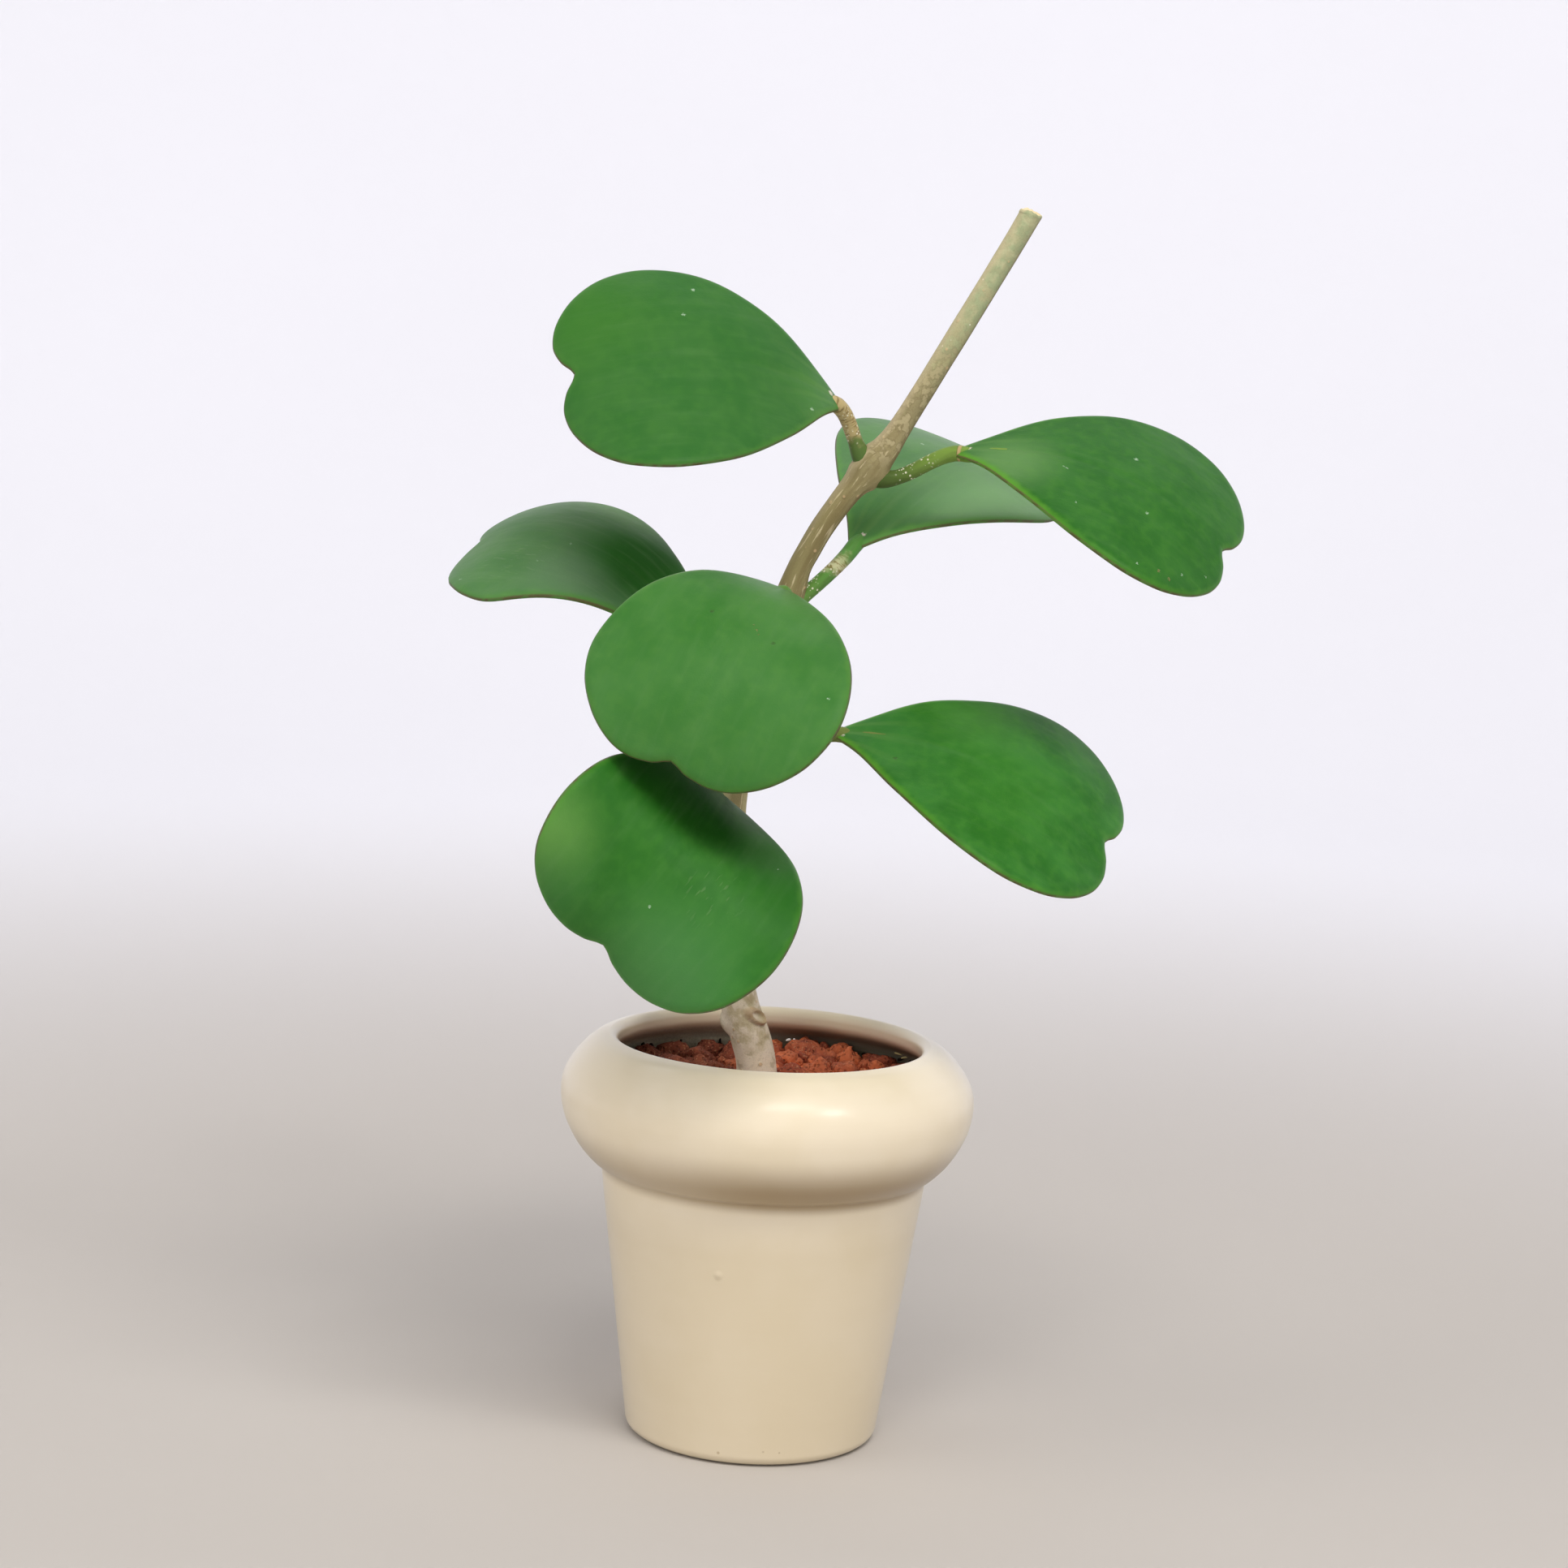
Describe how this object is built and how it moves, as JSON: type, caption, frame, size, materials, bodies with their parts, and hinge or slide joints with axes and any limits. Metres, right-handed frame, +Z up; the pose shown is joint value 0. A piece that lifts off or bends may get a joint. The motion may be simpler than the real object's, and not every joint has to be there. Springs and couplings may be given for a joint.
{
  "type": "potted hoya plant",
  "caption": "Small hoya with thick heart-shaped leaves and a bare cut stem, growing in a cream ceramic pot with a swollen rim, topped with red lava gravel.",
  "frame": {"origin": "centre of the pot's flat underside", "axes": "+Z up along the pot's axis; -Y towards the front, the side the plant is looked at from; +X to the right as seen from the front, the side the bare stem leans to"},
  "size_m": [0.2073, 0.1543, 0.3286],
  "materials": {
    "cream_glaze": "satin cream glaze",
    "potting_mix": "dry dark crumbly potting mix",
    "lava_rock": "rough matt porous rock",
    "stem_bark": "smooth corky bark",
    "stalk_skin": "smooth green skin with corky patches",
    "leaf_skin": "waxy satin"
  },
  "bodies": {
    "root": {"pot": "cream_glaze", "soil": "potting_mix", "lava_gravel": "lava_rock", "stem": "stem_bark", "leaf_stalk_1": "stalk_skin", "leaf_stalk_2": "stalk_skin", "leaf_stalk_3": "stalk_skin", "leaf_stalk_4": "stalk_skin", "leaf_stalk_5": "stalk_skin", "leaf_stalk_6": "stalk_skin", "leaf_stalk_7": "stalk_skin", "leaf_1": "leaf_skin", "leaf_2": "leaf_skin", "leaf_3": "leaf_skin", "leaf_4": "leaf_skin", "leaf_5": "leaf_skin", "leaf_6": "leaf_skin", "leaf_7": "leaf_skin"}
  },
  "joints": []
}
